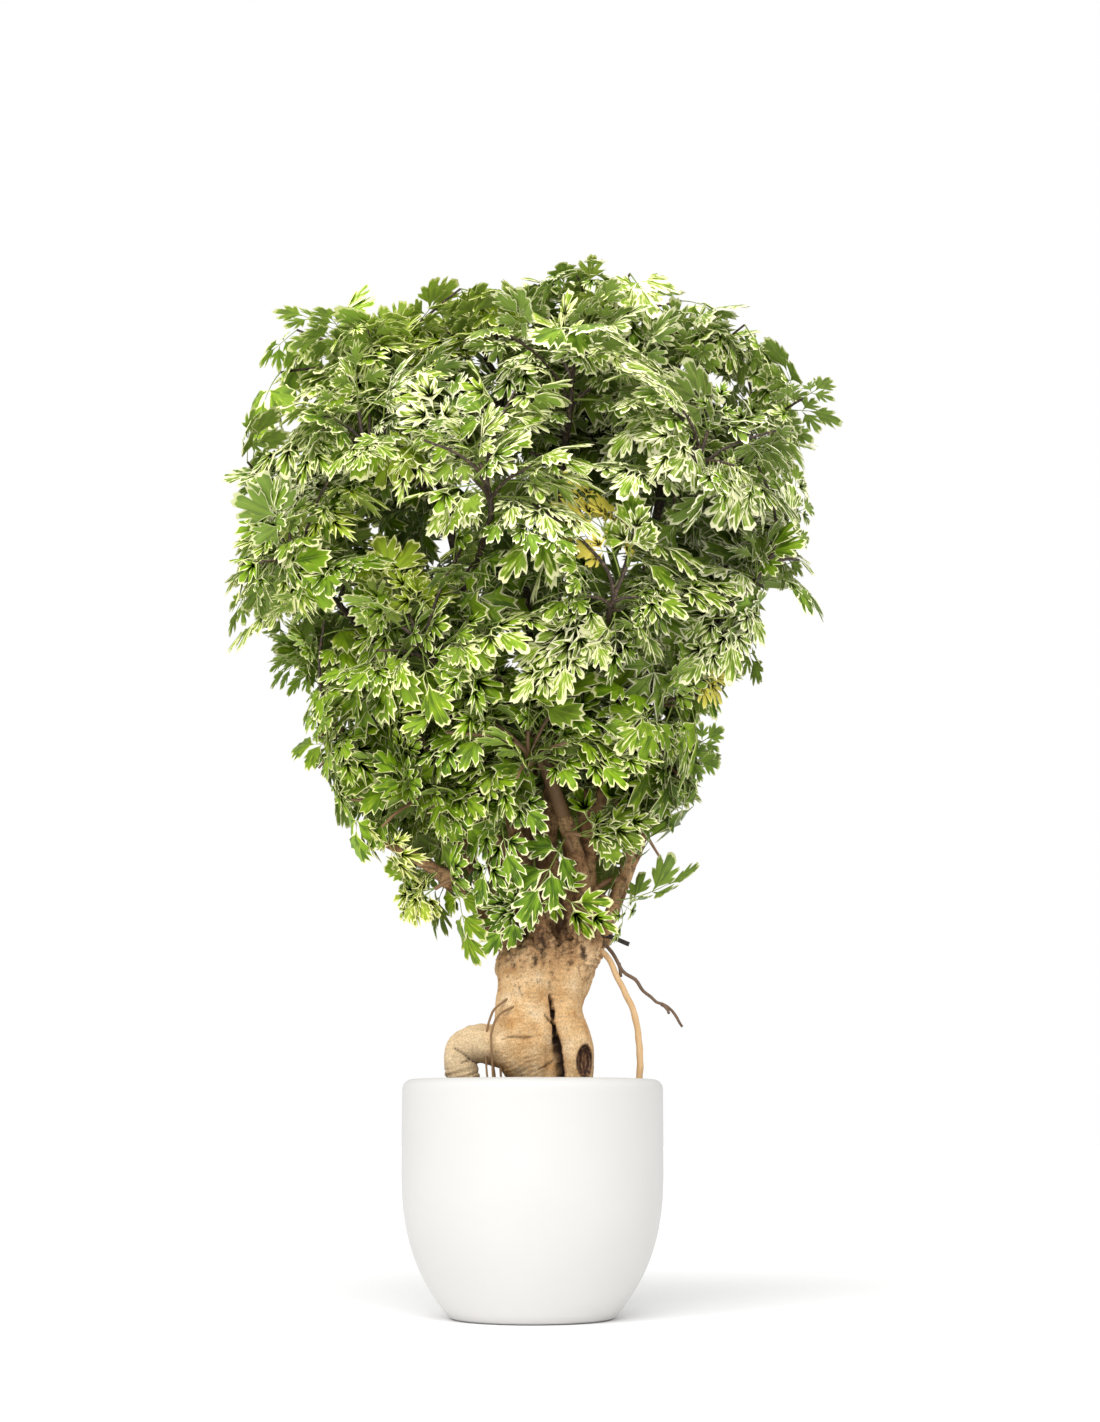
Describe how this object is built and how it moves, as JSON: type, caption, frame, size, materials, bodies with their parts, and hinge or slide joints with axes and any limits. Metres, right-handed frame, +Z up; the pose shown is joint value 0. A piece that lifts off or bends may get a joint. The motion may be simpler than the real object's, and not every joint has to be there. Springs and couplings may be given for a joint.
{
  "type": "potted variegated aralia bonsai",
  "caption": "Bonsai tree with a swollen split trunk, a knee root, fanned stems and a dome of cut, cream-edged leaves, standing in a round white pot of soil.",
  "frame": {"origin": "middle of the pot's base, on the surface that it stands on", "axes": "+Z up, +X to the right and -Y towards the front of the picture"},
  "size_m": [0.4397, 0.3937, 0.7485],
  "materials": {
    "pot": "smooth satin moulded",
    "soil": "loose crumbly peat mix",
    "bark": "corky bark with pits and wrinkles",
    "leaf": "smooth satin, cream edged"
  },
  "bodies": {
    "root": {"pot": "pot", "soil": "soil", "trunk": "bark", "spray_01": "leaf", "spray_02": "leaf", "spray_03": "leaf", "spray_04": "leaf", "spray_05": "leaf", "spray_06": "leaf", "spray_07": "leaf", "spray_08": "leaf", "spray_09": "leaf", "spray_10": "leaf", "spray_11": "leaf", "spray_12": "leaf", "spray_13": "leaf", "spray_14": "leaf", "spray_15": "leaf", "spray_16": "leaf", "spray_17": "leaf", "spray_18": "leaf", "spray_19": "leaf", "spray_20": "leaf", "spray_21": "leaf", "spray_22": "leaf", "spray_23": "leaf", "spray_24": "leaf", "spray_25": "leaf", "spray_26": "leaf", "spray_27": "leaf", "spray_28": "leaf", "spray_29": "leaf", "spray_30": "leaf", "spray_31": "leaf", "spray_32": "leaf", "spray_33": "leaf", "spray_34": "leaf", "spray_35": "leaf", "spray_36": "leaf", "spray_37": "leaf", "spray_38": "leaf"}
  },
  "joints": []
}
